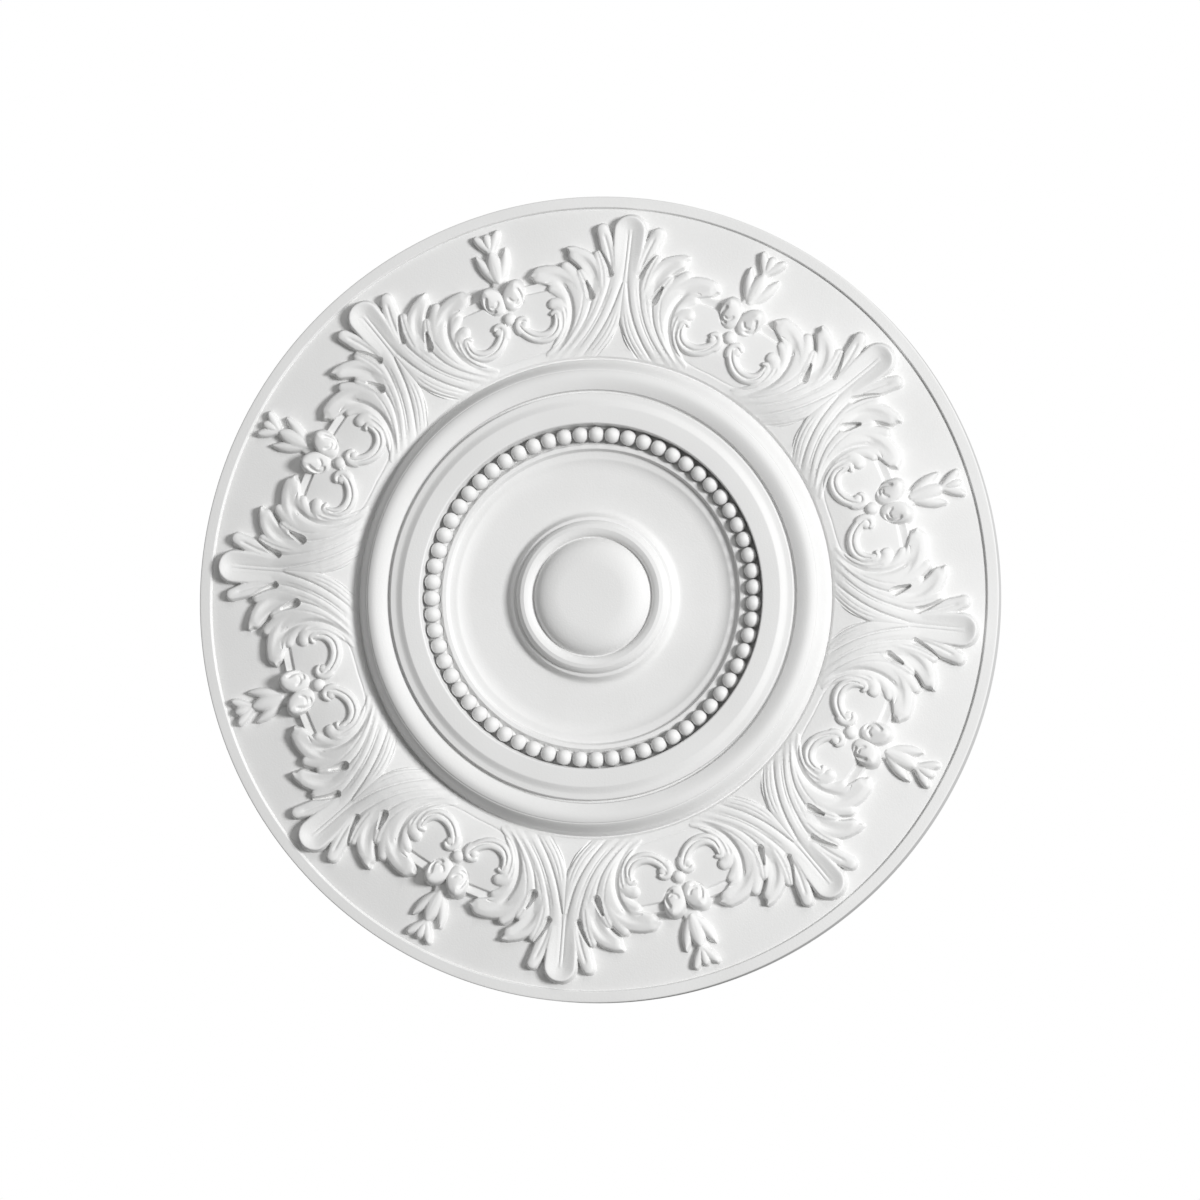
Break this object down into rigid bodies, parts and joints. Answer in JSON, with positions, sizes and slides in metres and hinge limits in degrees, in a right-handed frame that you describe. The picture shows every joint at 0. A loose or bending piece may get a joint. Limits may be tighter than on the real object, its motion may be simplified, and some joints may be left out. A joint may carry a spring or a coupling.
{
  "type": "ceiling rose",
  "caption": "Round white ceiling rose with a domed centre, turned mouldings, a ring of beads, and acanthus leaves, scrolls and flower sprays in relief.",
  "frame": {"origin": "centre of the flat back, where it meets the ceiling", "axes": "+Z out of the back towards the ceiling; the ornament faces down, along -Z; one leaf's axis lies 5.5 degrees from +X"},
  "size_m": [0.49, 0.49, 0.04],
  "materials": {
    "white_casting": "matt white, unpainted or primed"
  },
  "bodies": {
    "root": {"ceiling_rose": "white_casting"}
  },
  "joints": []
}
